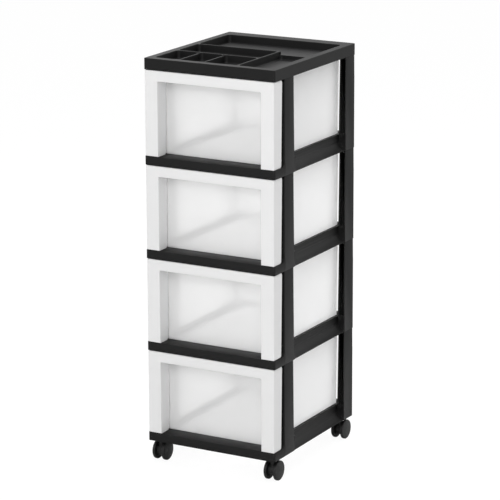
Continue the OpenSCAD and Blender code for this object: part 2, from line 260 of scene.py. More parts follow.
# %% Frosted plastic
CLOUDING = 0.012
BACK_LIGHT = (0.98, 0.98, 0.98, 1)


def frosted_plastic(name, white, passes, covers, bends, satin, lets_in, glows):
    """A milky plastic, told by how white it is and by what it does with light.

    It passes a share of the light, covers what lies behind and bends rays by its index. Satin
    is its roughness. It lets in a share of the lamps' light, and glows when lit from behind.
    """
    material, board = surface(name)
    cloud, fine = noise(board, per_metre=9), noise(board, per_metre=700)
    milky = board.node("ShaderNodeBsdfPrincipled", None, {
        "Base Color": shades(board, cloud, white - CLOUDING, white),
        "Roughness": satin + 0.05 * (cloud - 0.5) + 0.06 * (fine - 0.5),
        "IOR": bends,
        "Transmission Weight": passes,
        "Alpha": covers,
        "Specular IOR Level": 0.5,
        "Normal": grain(board, per_metre=1100, depth=0.02 * MM, strength=0.2)})
    shadow = board.outputs("ShaderNodeLightPath")["Is Shadow Ray"]
    if glows:
        back_lit = board.node("ShaderNodeBsdfTranslucent", None, {"Color": BACK_LIGHT})
        milky = board.node("ShaderNodeMixShader", None, [glows, milky, back_lit])
    clear = board.node("ShaderNodeBsdfTransparent")
    mixed = board.node("ShaderNodeMixShader", None, [lets_in * shadow, milky, clear])
    board.node("ShaderNodeOutputMaterial", None, [mixed])
    return material


# the whites are painted light and shade: the box's near-white lifts it in the shade of the black
# frame, and the front frame's lower white darkens it in the front lamp's full light
box_frost = frosted_plastic("drawer_box_frost", white=0.98, passes=0.10, covers=0.85,
                            bends=1.12, satin=0.30, lets_in=0.95, glows=0.55)
window_frost = frosted_plastic("drawer_window_frost", white=0.86, passes=0.30, covers=0.55,
                               bends=1.12, satin=0.30, lets_in=0.90, glows=0)
front_frost = frosted_plastic("drawer_front_frost", white=0.82, passes=0.10, covers=1.0,
                              bends=1.3, satin=0.42, lets_in=0.5, glows=0)
print("frosted plastics:", box_frost.name, window_frost.name, front_frost.name)

# %% [markdown]
# ## Steel
# The caster stems, axles and sleeves are drawn steel. Drawing leaves fine lines along the
# length, so the noise is stretched along one axis and feeds the roughness.

# %% Steel
# lines for each metre along x, y and z: long ones, side by side
LINES_PER_METRE = (40, 2600, 2600)


def drawn_steel(name):
    material, board = surface(name)
    stretched = board.node("ShaderNodeVectorMath", {"operation": "MULTIPLY"},
                           [object_place(board), LINES_PER_METRE])
    lines = board.node("ShaderNodeTexNoise", None,
                       {"Vector": stretched, "Scale": 1.0, "Detail": 2.0})
    return finish_surface(material, board, {
        "Base Color": shades(board, lines, 0.50, 0.60),
        "Metallic": 1.0,
        "Roughness": 0.24 + 0.16 * lines})


steel = drawn_steel("drawn_steel")
print("steel:", steel.name)

# %% [markdown]
# ## Softened solids
# A moulded edge is never sharp: it catches a thin line of light. Where a solid already has the
# right shape, it is copied, its loose triangles are merged into clean faces, and a Bevel modifier
# rounds every edge that turns more than a fixed angle. The angle limit leaves the facets of
# round corners alone. Joining flat faces has one trap: where a face runs right round a peg or a
# socket, the triangles that it is drawn with can fold over and close the hollow with a false
# skin. So the level faces are cut again, through the middles of the pegs and of the sockets.

# %% Softened copies
WELD = 0.02 * MM
FLAT_TURN = math.radians(0.5)
ROUND_TURN = math.radians(35)


def cut_level_faces(work, place):
    """Cuts the level faces at one x, so that none runs right round a peg or a socket."""
    level = [face for face in work.faces if abs(face.normal.z) > 0.999]
    edges = {edge for face in level for edge in face.edges}
    corners = {corner for face in level for corner in face.verts}
    bmesh.ops.bisect_plane(work, geom=[*corners, *edges, *level], dist=0.001 * MM,
                           plane_co=(place, 0, 0), plane_no=(1, 0, 0))


def merged_copy(node, name, cuts):
    """A solid's mesh with its doubles merged and its flat faces joined, then cut at each x."""
    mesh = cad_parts[node].data.copy()
    mesh.name = name
    work = bmesh.new()
    work.from_mesh(mesh)
    bmesh.ops.remove_doubles(work, verts=work.verts, dist=WELD)
    bmesh.ops.dissolve_limit(work, angle_limit=FLAT_TURN, verts=work.verts,
                             edges=work.edges, use_dissolve_boundaries=False)
    for place in cuts:
        cut_level_faces(work, place)
    bmesh.ops.recalc_face_normals(work, faces=work.faces)
    work.to_mesh(mesh)
    work.free()
    mesh.materials.clear()
    return mesh


def soften(piece, width):
    """Rounds the edges of a piece with a Bevel modifier and smooths its faces."""
    bevel = piece.modifiers.new("round_edges", "BEVEL")
    bevel.width, bevel.segments = width, 2
    bevel.limit_method, bevel.angle_limit = "ANGLE", ROUND_TURN
    bevel.use_clamp_overlap = False
    bevel.miter_outer = "MITER_ARC"
    bevel.harden_normals = True
    piece.data.polygons.foreach_set("use_smooth", [True] * len(piece.data.polygons))


print("softening tools ready: edges that turn more than", round(math.degrees(ROUND_TURN)), "degrees")

# %% [markdown]
# ## A shape from a rule
# The tray, its compartments and the drawer boxes are all the same shape: a rectangle with round
# corners that runs down a wall, turns through a cove and closes on a flat floor. So one tree of
# Geometry Nodes makes them all from named sizes. It starts from a flat grid. The column of a
# point says where it stands round the outline, and its row says where it is down the profile.
# Used as a body it is a block with a round foot. Used as a cutter, its lip flares out, and the
# cut gets a rounded rim with no bevel at all.

# %% Trees of shapes
SEAM = 0.004 * MM


def shape_tree(name, sizes):
    """An empty Geometry Nodes tree with a float input for each size, and a material."""
    tree = bpy.data.node_groups.new(name, "GeometryNodeTree")
    tree.interface.new_socket("Shape", in_out="OUTPUT", socket_type="NodeSocketGeometry")
    for size in sizes:
        tree.interface.new_socket(size, in_out="INPUT", socket_type="NodeSocketFloat")
    tree.interface.new_socket("Material", in_out="INPUT", socket_type="NodeSocketMaterial")
    board = Board(tree)
    return tree, board, board.outputs("NodeGroupInput")


def close_tree(board, shape, material):
    """Ends a tree: merges its seams, realizes its instances and paints it."""
    real = board.node("GeometryNodeRealizeInstances", None, [shape])
    whole = board.node("GeometryNodeMergeByDistance", None,
                       {"Geometry": real, "Distance": SEAM})
    smooth = board.node("GeometryNodeSetShadeSmooth", None, {"Geometry": whole})
    painted = board.node("GeometryNodeSetMaterial", None,
                         {"Geometry": smooth, "Material": material})
    board.node("NodeGroupOutput", None, [painted])


def grow(tree, name, sizes, material):
    """Evaluates a tree with these sizes and gives the result as a plain mesh."""
    seed = bpy.data.objects.new("seed", bpy.data.meshes.new("seed"))
    scene.collection.objects.link(seed)
    nodes = seed.modifiers.new("shape", "NODES")
    nodes.node_group = tree
    values = {**sizes, "Material": material}
    for item in tree.interface.items_tree:
        if item.in_out == "INPUT":
            nodes[item.identifier] = values[item.name]
    ready = seed.evaluated_get(bpy.context.evaluated_depsgraph_get())
    mesh = bpy.data.meshes.new_from_object(ready)
    mesh.name = name
    bpy.data.objects.remove(seed)
    work = bmesh.new()
    work.from_mesh(mesh)
    bmesh.ops.recalc_face_normals(work, faces=work.faces)
    work.to_mesh(mesh)
    work.free()
    return mesh


print("tools for shape trees ready")

# %% The round block
QUARTER = 8
LEAST_CORNER, LEAST_ROUND = 0.4 * MM, 0.1 * MM
BLOCK_SIZES = ("Half X", "Half Y", "Corner", "Mouth", "Height", "Draft X", "Draft Y", "Lean Y",
               "Foot Radius", "Lip Radius", "Overrun")


def round_block_tree():
    tree, board, size = shape_tree("round_block", BLOCK_SIZES)
    lip_turn = [math.radians(a) for a in (86, 58, 29, 0)]
    foot_turn = [math.radians(a) for a in (0, 18, 36, 54, 72, 90)]
    way = size["Height"].sign()
    foot = size["Mouth"] - size["Height"]
    # one entry for each row: how open the outline is, how far in, and how high
    opening = [0, 1] + [1] * (len(lip_turn) + len(foot_turn)) + [0]
    inset = ([0 - size["Lip Radius"]] * 2
             + [size["Lip Radius"] * (math.cos(a) - 1) for a in lip_turn]
             + [size["Foot Radius"] * (1 - math.cos(a)) for a in foot_turn]
             + [size["Foot Radius"] * 1])
    height = ([size["Mouth"] + way * size["Overrun"]] * 2
              + [size["Mouth"] - way * size["Lip Radius"] * (1 - math.sin(a)) for a in lip_turn]
              + [foot + way * size["Foot Radius"] * (1 - math.sin(a)) for a in foot_turn]
              + [foot * 1])
    rows, columns = len(opening), 4 * (QUARTER + 1) + 1
    grid = board.node("GeometryNodeMeshGrid", None,
                      {"Size X": 1.0, "Size Y": 1.0, "Vertices X": columns, "Vertices Y": rows})
    index = board.node("GeometryNodeInputIndex")
    column = index // rows
    row = index - column * rows
    corner = column // (QUARTER + 1)
    angle = (corner + (column - corner * (QUARTER + 1)) / QUARTER) * (math.pi / 2)
    middle = (corner + 0.5) * (math.pi / 2)
    side_x, side_y = middle.cosine().sign(), middle.sine().sign()
    z = board.choose(row, height)
    fall = (size["Mouth"] - z) / size["Height"]
    curl = board.choose(row, inset)
    inset_x, inset_y = curl + size["Draft X"] * fall, curl + size["Draft Y"] * fall
    radius = (size["Corner"] - inset_x).at_least(LEAST_CORNER)
    spread = board.choose(row, opening)
    x = spread * (side_x * (size["Half X"] - inset_x - radius) + radius * angle.cosine())
    y = spread * (side_y * (size["Half Y"] - inset_y - radius) + radius * angle.sine())
    place = board.node("ShaderNodeCombineXYZ", None, [x, y + size["Lean Y"] * fall, z])
    block = board.node("GeometryNodeSetPosition", None, {"Geometry": grid, "Position": place})
    close_tree(board, block, size["Material"])
    return tree


ROUND_BLOCK = round_block_tree()


def round_block(name, x_range, y_range, mouth, height, corner, foot=0.0, lip=0.0, draft=0.0,
                overrun=0.0, lean_y=None):
    """A round block over a range of x and y. A positive height runs down from the mouth."""
    leans = lean_y is not None
    sizes = {"Half X": (x_range[1] - x_range[0]) / 2, "Half Y": (y_range[1] - y_range[0]) / 2,
             "Corner": corner, "Mouth": mouth, "Height": height, "Draft X": draft,
             "Draft Y": lean_y / 2 if leans else draft, "Lean Y": -lean_y / 2 if leans else 0.0,
             "Foot Radius": max(foot, LEAST_ROUND), "Lip Radius": max(lip, LEAST_ROUND),
             "Overrun": overrun}
    mesh = grow(ROUND_BLOCK, name, sizes, frame_black)
    mesh.transform(Matrix.Translation((sum(x_range) / 2, sum(y_range) / 2, 0)))
    return mesh


def across(half):
    """The x or y range of something that reaches as far to either side."""
    return -half, half


trial = round_block("trial", across(20 * MM), across(30 * MM), mouth=10 * MM, height=15 * MM,
                    corner=5 * MM, foot=3 * MM, lip=1 * MM)
print("round block:", len(trial.vertices), "points,", len(trial.polygons), "faces")
bpy.data.meshes.remove(trial)

# %% [markdown]
# ## Adding and cutting
# With blocks at hand, a moulding is built as its mould is: blocks are joined, and the hollows are
# taken out. A Boolean modifier does each step. The Manifold solver is exact enough for walls
# that meet, and fast.

# %% Adding and cutting
SHARP_TURN = math.radians(32)


def plain_block(name, low, high):
    """A box from its lowest to its highest corner."""
    work = bmesh.new()
    bmesh.ops.create_cube(work, size=1)
    mesh = bpy.data.meshes.new(name)
    work.to_mesh(mesh)
    work.free()
    low, high = Vector(low), Vector(high)
    mesh.transform(Matrix.Translation((low + high) / 2) @ Matrix.Diagonal((*(high - low), 1)))
    return mesh


def carve(body, steps):
    """Adds or cuts one mesh after another: each step is ("UNION" or "DIFFERENCE", mesh)."""
    piece = bpy.data.objects.new(body.name, body)
    scene.collection.objects.link(piece)
    tools = []
    for operation, mesh in steps:
        tool = bpy.data.objects.new(mesh.name, mesh)
        scene.collection.objects.link(tool)
        tools.append(tool)
        cut = piece.modifiers.new(mesh.name, "BOOLEAN")
        cut.operation, cut.solver, cut.object = operation, "MANIFOLD", tool
    ready = piece.evaluated_get(bpy.context.evaluated_depsgraph_get())
    result = bpy.data.meshes.new_from_object(ready)
    for thing in tools + [piece]:
        bpy.data.objects.remove(thing)
    result.name = body.name
    result.materials.clear()
    result.polygons.foreach_set("material_index", [0] * len(result.polygons))
    return result


def moulded(mesh, name, materials, body, node):
    """Makes a carved mesh a piece of the tower that stands for a node."""
    mesh.name = name
    for material in materials:
        mesh.materials.append(material)
    mesh.polygons.foreach_set("use_smooth", [True] * len(mesh.polygons))
    mesh.set_sharp_from_angle(angle=SHARP_TURN)
    piece = bpy.data.objects.new(name, mesh)
    scene.collection.objects.link(piece)
    weigh = piece.modifiers.new("flat_faces_stay_flat", "WEIGHTED_NORMAL")
    weigh.keep_sharp = True
    weigh.weight = 90
    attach(piece, body)
    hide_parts(node)
    print(name, len(mesh.polygons), "faces")
    return piece


print("carving tools ready")

# %% [markdown]
# ## Frames
# A frame is one black moulding: a front bar with a lip, two side bands that guide the drawer,
# a rear bar and four posts. The solid has the right shape, so the piece is its softened copy.
# The rear posts are channels, open towards the front, as hollow posts are where nobody looks:
# one cut through the front wall of each lets the eye into its dark hollow.

# %% Tower sizes
TRAY_LOW, TRAY_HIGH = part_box("organizer_top")
HALF_W, HALF_D = TRAY_HIGH[0], TRAY_HIGH[1]
TRAY_BASE, TRAY_TOP = TRAY_LOW[2], TRAY_HIGH[2]
LEVELS = (1, 2, 3, 4)
LEVEL_HIGH = 203 * MM
print("half width and depth:", round(HALF_W, 4), round(HALF_D, 4))


def foot_of(level):
    """Height of the underside of a frame."""
    return TRAY_BASE - (LEVELS[-1] + 1 - level) * LEVEL_HIGH


# %% Frames
POST_W, POST_T = 42.5 * MM, 17.5 * MM
POST_FRONT = HALF_D - POST_W
POST_MIDDLE = HALF_W - POST_T / 2
STEM_SIDE = HALF_W - 18 * MM
FRAME_EDGE = 0.45 * MM
# the channel in a rear post: its x range, its y range from the post's front, its height range
CHANNEL = (HALF_W - 13 * MM, HALF_W - 3.4 * MM)
CHANNEL_START, CHANNEL_DEPTH = 2 * MM, 7 * MM
CHANNEL_RISE = (37 * MM, LEVEL_HIGH - 5 * MM)


def dress_frame(level):
    solid = merged_copy(f"frame_{level}", f"frame_shell_{level}",
                        (-POST_MIDDLE, -STEM_SIDE, STEM_SIDE, POST_MIDDLE))
    low_z, high_z = (foot_of(level) + rise for rise in CHANNEL_RISE)
    steps = [("DIFFERENCE", plain_block(
        "channel", (min(side * x for x in CHANNEL), POST_FRONT - CHANNEL_START, low_z),
        (max(side * x for x in CHANNEL), POST_FRONT + CHANNEL_DEPTH, high_z)))
        for side in (-1, 1)]
    mesh = carve(solid, steps)
    piece = bpy.data.objects.new(mesh.name, mesh)
    scene.collection.objects.link(piece)
    soften(piece, FRAME_EDGE)
    piece.data.materials.append(frame_black)
    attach(piece, "tower")
    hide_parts(f"frame_{level}")
    print(piece.name, len(piece.data.polygons), "faces")


for level in LEVELS:
    dress_frame(level)

# %% [markdown]
# ## Organizer tray
# The tray is a shallow moulding with six compartments. Its walls lean out a little so that it
# leaves its mould, every floor meets its walls in a cove, and the rims are round to the hand.
# From below it is open, and the compartments hang in it like cups.

# %% Organizer tray sizes
TRAY_WALL = 2.5 * MM
SKIRT_CORNER, SKIRT_EDGE = 4 * MM, 1.2 * MM
LEFT, RIGHT = -HALF_W + 17 * MM, HALF_W - 17 * MM
FRONT, BACK = -HALF_D + 18 * MM, HALF_D - 33 * MM
# the middles of the dividers: two small ones, the long one, and two that run across
FIRST, SECOND = -HALF_W + 72 * MM, -HALF_W + 131 * MM
LONG, MIDDLE, REAR = -HALF_W + 213 * MM, -HALF_D + 112 * MM, -HALF_D + 199 * MM
# half the thickness of a small divider, and of the others
THIN, THICK = 1.5 * MM, 2.25 * MM
COVE, AREA_COVE = 4 * MM, 2.5 * MM
CELL_DEPTH, CELL_CORNER, CELL_LIP, CELL_DRAFT = 18 * MM, 8 * MM, 1.1 * MM, 1 * MM
# a cup is a compartment's outside, and its top ends inside the rim
CUP_CORNER, CUP_FOOT, CUP_SUNK = CELL_CORNER + TRAY_WALL, 5 * MM, 1 * MM
# how far a divider's top lies under the rim, and the block that cuts it there
SMALL_DROP, SMALL_CUT, SMALL_END = 1.5 * MM, 3 * MM, 0.6 * MM
LOW_DROP, LOW_CUT, LOW_END, LOW_CORNER = 7 * MM, 8 * MM, 0.3 * MM, 1 * MM
# how far a cutter stands out past the face that it cuts
CUT_PAST = 5 * MM
# name: its x range, its y range, its cove
CELLS = {
    "small_1": ((LEFT, FIRST - THIN), (FRONT, MIDDLE - THICK), COVE),
    "small_2": ((FIRST + THIN, SECOND - THIN), (FRONT, MIDDLE - THICK), COVE),
    "small_3": ((SECOND + THIN, LONG - THICK), (FRONT, MIDDLE - THICK), COVE),
    "wide": ((LEFT, LONG - THICK), (MIDDLE + THICK, REAR - THICK), COVE),
    "long": ((LONG + THICK, RIGHT), (FRONT, REAR - THICK), COVE),
    "area": ((LEFT, RIGHT), (REAR + THICK, BACK), AREA_COVE)}
print("compartments:", ", ".join(CELLS))


# %% Organizer tray
def make_tray():
    steps = [("DIFFERENCE", plain_block(
        "underside", (-HALF_W + TRAY_WALL, -HALF_D + TRAY_WALL, TRAY_BASE - 2 * CUT_PAST),
        (HALF_W - TRAY_WALL, HALF_D - TRAY_WALL, TRAY_TOP - TRAY_WALL)))]
    for name, (xs, ys, _) in CELLS.items():
        steps.append(("UNION", round_block(
            f"{name}_cup", (xs[0] - TRAY_WALL, xs[1] + TRAY_WALL),
            (ys[0] - TRAY_WALL, ys[1] + TRAY_WALL), mouth=TRAY_TOP - CUP_SUNK,
            height=CELL_DEPTH + TRAY_WALL - CUP_SUNK, corner=CUP_CORNER, foot=CUP_FOOT)))
    for name, (xs, ys, cove) in CELLS.items():
        steps.append(("DIFFERENCE", round_block(
            name, xs, ys, mouth=TRAY_TOP, height=CELL_DEPTH, corner=CELL_CORNER, foot=cove,
            lip=CELL_LIP, draft=CELL_DRAFT, overrun=CUT_PAST)))
    for x in (FIRST, SECOND):
        steps.append(("DIFFERENCE", plain_block(
            "small_divider_top", (x - SMALL_CUT, FRONT + SMALL_END, TRAY_TOP - SMALL_DROP),
            (x + SMALL_CUT, MIDDLE - THICK - SMALL_END, TRAY_TOP + CUT_PAST))))
    steps.append(("DIFFERENCE", round_block(
        "low_divider_top", (LONG + THICK + LOW_END, RIGHT - LOW_END),
        (REAR - THICK - LOW_CUT, REAR + THICK + LOW_CUT), mouth=TRAY_TOP, height=LOW_DROP,
        corner=LOW_CORNER, overrun=CUT_PAST)))
    # a block with a height below nought stands up from its mouth
    body = round_block("organizer_tray", across(HALF_W), across(HALF_D), mouth=TRAY_BASE,
                       height=TRAY_BASE - TRAY_TOP, corner=SKIRT_CORNER, foot=SKIRT_EDGE)
    mesh = carve(body, steps)
    # the floors that face up take the lighter black: painted light on the compartment floors
    finishes = [frame_black, lit_floor_black]
    for face in mesh.polygons:
        at_floor = abs(face.center.z - TRAY_TOP + CELL_DEPTH) < 0.3 * MM
        is_floor = at_floor and face.normal.z > 0.9
        face.material_index = finishes.index(lit_floor_black if is_floor else frame_black)
    moulded(mesh, "organizer_tray", finishes, "tower", "organizer_top")


make_tray()

# %% [markdown]
# ## Drawers
# One moulding again: a hollow front frame with a recess, and behind it a thin box whose walls
# lean out towards the rim. The front wall of the box is the window at the back of the recess.
# Three finishes share the mesh, because the doubled walls of the front frame look denser than the
# thin box behind, and the window is the clearest. Their whites differ as painted light and shade:
# the front frame, in the front lamp's full light, has a darker white, and the box, shaded by the
# black frame round it, the brightest. Each face takes its finish by where it lies.

# %% Drawer sizes
WALL = 2.2 * MM
LIP_HIGH, SEAT_GAP = 19 * MM, 0.3 * MM
ROOM = LEVEL_HIGH - LIP_HIGH - SEAT_GAP
# the front frame: where its face is, half its width and its height, and its edges
FACE = -HALF_D
FACE_X, FACE_HIGH = HALF_W - 2 * MM, ROOM - 1 * MM
REAR_LEAN, REAR_ROUND, EDGE_ROUND = 3.5 * MM, 5 * MM, 1.6 * MM
# the recess in it, which is cut from below the floor upwards
RECESS_X, RECESS_TOP, RECESS_LOW = FACE_X - 30.5 * MM, FACE_HIGH - 22.5 * MM, -50 * MM
RECESS_CORNER, RECESS_FOOT, RECESS_LIP, RECESS_DRAFT = 1.6 * MM, 0.4 * MM, 1 * MM, 0.5 * MM
# the box behind it, which runs between the guides of its tower frame: x is half its mouth
GUIDE = HALF_W - 27 * MM
BOX_DRAFT = 2 * MM
BOX_X = GUIDE - 2.8 * MM + BOX_DRAFT
BOX_FRONT, BOX_REAR = FACE + 36.5 * MM, HALF_D - 20.6 * MM
BOX_HIGH = ROOM - 6 * MM
BOX_CORNER, BOX_FOOT, INSIDE_LIP = 3 * MM, 2.5 * MM, 0.5 * MM
RIM_OUT, RIM_CORNER, RIM_FOOT = 3 * MM, 4 * MM, 0.7 * MM
# the lugs under its floor that stop it
LUG_X, LUG_Y = GUIDE - 22 * MM, FACE + 291 * MM
LUG_W, LUG_T, LUG_H = 16 * MM, 4 * MM, 6 * MM
# how far one block reaches into the next, and how near the window a face takes its finish
REACH = 1 * MM
print("window:", round(2 * RECESS_X / MM), "x", round(RECESS_TOP / MM), "mm")


# %% Front frame
def quarter_arc(middle_y, middle_z, start):
    """Points of a quarter circle in the side view, turning down from an angle."""
    turns = [math.radians(start - 15 * step) for step in range(7)]
    return [(middle_y + REAR_ROUND * math.cos(turn), middle_z + REAR_ROUND * math.sin(turn))
            for turn in turns]


def front_frame_body():
    """The front frame's side view drawn out along x, with all its outer edges rounded."""
    outline = [(FACE, 0), (FACE, FACE_HIGH)]
    outline += quarter_arc(BOX_FRONT - REAR_ROUND, FACE_HIGH - REAR_ROUND, 90)
    outline += quarter_arc(BOX_FRONT - REAR_LEAN - REAR_ROUND, REAR_ROUND, 0)
    work = bmesh.new()
    ends = [[work.verts.new((x, y, z)) for y, z in outline] for x in across(FACE_X)]
    work.faces.new(ends[0])
    work.faces.new(list(reversed(ends[1])))
    for here in range(len(outline)):
        there = (here + 1) % len(outline)
        work.faces.new((ends[0][here], ends[1][here], ends[1][there], ends[0][there]))
    bmesh.ops.recalc_face_normals(work, faces=work.faces)
    end_edges = [edge for edge in work.edges
                 if abs(edge.verts[0].co.x - edge.verts[1].co.x) < MM]
    front_edges = [edge for edge in work.edges if edge not in end_edges
                   and edge.verts[0].co.y < FACE + MM]
    bmesh.ops.bevel(work, geom=end_edges + front_edges, offset=EDGE_ROUND, segments=4,
                    profile=0.5, affect="EDGES")
    mesh = bpy.data.meshes.new("front_frame")
    work.to_mesh(mesh)
    work.free()
    return mesh


print("front frame:", round(2 * FACE_X / MM), "x", round(FACE_HIGH / MM), "mm")


# %% Drawer moulding
FACE_FRONT = Matrix(((1, 0, 0, 0), (0, 0, 1, 0), (0, -1, 0, 0), (0, 0, 0, 1)))


def drawer_moulding():
    """One drawer with its floor at height nought."""
    inner, side = FACE_X - WALL, RECESS_X + RECESS_DRAFT + WALL
    # name: its x range and its lowest height
    hollows = {"top_bar_hollow": (across(inner), RECESS_TOP + WALL),
               "left_stile_hollow": ((-inner, -side), WALL),
               "right_stile_hollow": ((side, inner), WALL)}
    steps = [("DIFFERENCE", plain_block(name, (xs[0], FACE + WALL, low_z),
                                        (xs[1], BOX_FRONT + REACH, FACE_HIGH - WALL)))
             for name, (xs, low_z) in hollows.items()]
    steps.append(("UNION", round_block(
        "box", across(BOX_X), (BOX_FRONT, BOX_REAR), mouth=BOX_HIGH - REACH,
        height=BOX_HIGH - REACH, corner=BOX_CORNER, foot=BOX_FOOT, draft=BOX_DRAFT,
        lean_y=BOX_DRAFT)))
    steps.append(("UNION", round_block(
        "rim", across(BOX_X + RIM_OUT), (BOX_FRONT, BOX_REAR), mouth=BOX_HIGH - WALL,
        height=-WALL, corner=RIM_CORNER, foot=RIM_FOOT)))
    # the recess is cut from the face, so its block is turned to look forwards
    recess = round_block("recess", across(RECESS_X), (RECESS_LOW, RECESS_TOP), mouth=-FACE,
                         height=BOX_FRONT - FACE, corner=RECESS_CORNER, foot=RECESS_FOOT,
                         lip=RECESS_LIP, draft=-RECESS_DRAFT, overrun=CUT_PAST, lean_y=0.0)
    recess.transform(FACE_FRONT.inverted())
    steps.append(("DIFFERENCE", recess))
    steps.append(("DIFFERENCE", round_block(
        "inside", across(BOX_X - WALL), (BOX_FRONT + WALL, BOX_REAR - WALL), mouth=BOX_HIGH,
        height=BOX_HIGH - WALL, corner=BOX_CORNER, foot=BOX_FOOT, lip=INSIDE_LIP,
        draft=BOX_DRAFT, overrun=CUT_PAST, lean_y=BOX_DRAFT)))
    for xs in ((-LUG_X, -LUG_X + LUG_W), (LUG_X - LUG_W, LUG_X)):
        steps.append(("UNION", plain_block("stop_lug", (xs[0], LUG_Y, -LUG_H),
                                           (xs[1], LUG_Y + LUG_T, REACH))))
    return carve(front_frame_body(), steps)


drawer_mesh = drawer_moulding()
print("drawer moulding:", len(drawer_mesh.polygons), "faces")


# %% Drawers
def dress_drawer(level):
    seat = foot_of(level) + LIP_HIGH + SEAT_GAP
    mesh = drawer_mesh.copy()
    mesh.transform(Matrix.Translation((0, 0, seat)))
    finishes = [box_frost, front_frost, window_frost]
    for face in mesh.polygons:
        depth = face.center.y - BOX_FRONT
        if depth < -REACH:
            finish = front_frost
        elif depth < WALL + REACH:
            finish = window_frost
        else:
            finish = box_frost
        face.material_index = finishes.index(finish)
    moulded(mesh, f"drawer_shell_{level}", finishes, f"drawer_{level}",
            f"drawer_{level}")


for level in LEVELS:
    dress_drawer(level)
bpy.data.meshes.remove(drawer_mesh)

# %% [markdown]
# ## Casters
# A furniture caster is a pair of thin wheels on one steel axle. Between them a hood holds the
# axle and turns on the steel stem. A wheel is round, so a tree of rings makes it: each ring
# has a radius and a place along the axle, and the list of rings is the wheel's section. Its
# outer face shows a flat tread ring, a groove, a low dome and a hub cap.

# %% The wheel's tree
WHEEL_SHAPE = {"Edge": 1.5 * MM, "Ring": 1 * MM, "Dome": 1.2 * MM, "Groove": 0.5 * MM,
               "Bore": 2.55 * MM, "Bore Depth": 4.4 * MM}
CAP_SHARE = 0.36
SPOKES = 72


def wheel_tree():
    tree, board, size = shape_tree("wheel", ("Radius", "Thickness", *WHEEL_SHAPE))
    turn = [math.radians(a) for a in (0, 30, 60, 90)]
    edge, groove = size["Edge"], size["Groove"]
    flat = size["Thickness"] - size["Dome"]
    face = size["Radius"] - edge - size["Ring"]
    inner = face - groove
    cap = face * CAP_SHARE
    rim = size["Radius"] - edge
    # one entry for each ring: the bore, the inner face, two round edges, the groove, the dome
    radius = [0, size["Bore"], size["Bore"]]
    place = [size["Bore Depth"], size["Bore Depth"], 0]
    for a in turn:
        radius.append(rim + edge * math.sin(a))
        place.append(edge * (1 - math.cos(a)))
    for a in turn:
        radius.append(rim + edge * math.cos(a))
        place.append(flat - edge * (1 - math.sin(a)))
    radius += [face, face, inner]
    place += [flat, flat - groove, flat - groove]
    for part in (1.0, 0.8, 0.6, 0.42):
        radius.append(inner * part)
        place.append(flat + size["Dome"] * (1 - part ** 2))
    radius += [cap + groove * 0.8, cap, cap, cap * 0.7, 0]
    place += [size["Thickness"] - groove * 0.9, size["Thickness"] - groove * 0.9,
              size["Thickness"] - groove * 0.2, size["Thickness"], size["Thickness"]]
    rings = len(radius)
    grid = board.node("GeometryNodeMeshGrid", None, {
        "Size X": 1.0, "Size Y": 1.0, "Vertices X": SPOKES + 1, "Vertices Y": rings})
    index = board.node("GeometryNodeInputIndex")
    column = index // rings
    row = index - column * rings
    angle = column * (2 * math.pi / SPOKES)
    reach = board.choose(row, radius)
    point = board.node("ShaderNodeCombineXYZ", None, [
        board.choose(row, place), reach * angle.cosine(), reach * angle.sine()])
    wheel = board.node("GeometryNodeSetPosition", None, {"Geometry": grid, "Position": point})
    close_tree(board, wheel, size["Material"])
    return tree


WHEEL = wheel_tree()
print("wheel tree:", len(WHEEL.nodes), "nodes")


# %% Wheels
def dress_wheel(corner, side):
    node = f"caster_{corner}_wheel_{side}"
    low, high = (Vector(point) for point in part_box(node))
    middle = (low + high) / 2
    sizes = {"Radius": (high.z - low.z) / 2, "Thickness": high.x - low.x, **WHEEL_SHAPE}
    mesh = grow(WHEEL, node, sizes, wheel_black)
    faces_left = side == "l"
    if faces_left:
        mesh.transform(Matrix.Rotation(math.pi, 4, "Z"))
    mesh.transform(Matrix.Translation((high.x if faces_left else low.x, middle.y, middle.z)))
    mesh.materials.clear()
    return moulded(mesh, f"caster_disc_{corner}_{side}", [wheel_black],
                   f"wheel_{corner}_{side}", node)


CORNERS = ("fl", "fr", "rl", "rr")
wheels = [dress_wheel(corner, side) for corner in CORNERS for side in "lr"]


# %% Hoods and steel
ROD_SIDES = 48
BARREL_HALF, BORE_R = 7.5 * MM, 4 * MM
NECK_R, COLLAR_R, DISC_R, DISC_T = 6.5 * MM, 7.5 * MM, 11 * MM, 1.1 * MM
COLLAR_BELOW, COLLAR_ABOVE = 1 * MM, 1.5 * MM
HOOD_EDGE = 0.5 * MM


def rod(name, start, end, radius):
    """A round bar from one point to another."""
    start, end = Vector(start), Vector(end)
    work = bmesh.new()
    bmesh.ops.create_cone(work, cap_ends=True, segments=ROD_SIDES, radius1=radius,
                          radius2=radius, depth=(end - start).length)
    mesh = bpy.data.meshes.new(name)
    work.to_mesh(mesh)
    work.free()
    turn = (end - start).to_track_quat("Z", "Y").to_matrix().to_4x4()
    mesh.transform(Matrix.Translation((start + end) / 2) @ turn)
    return mesh


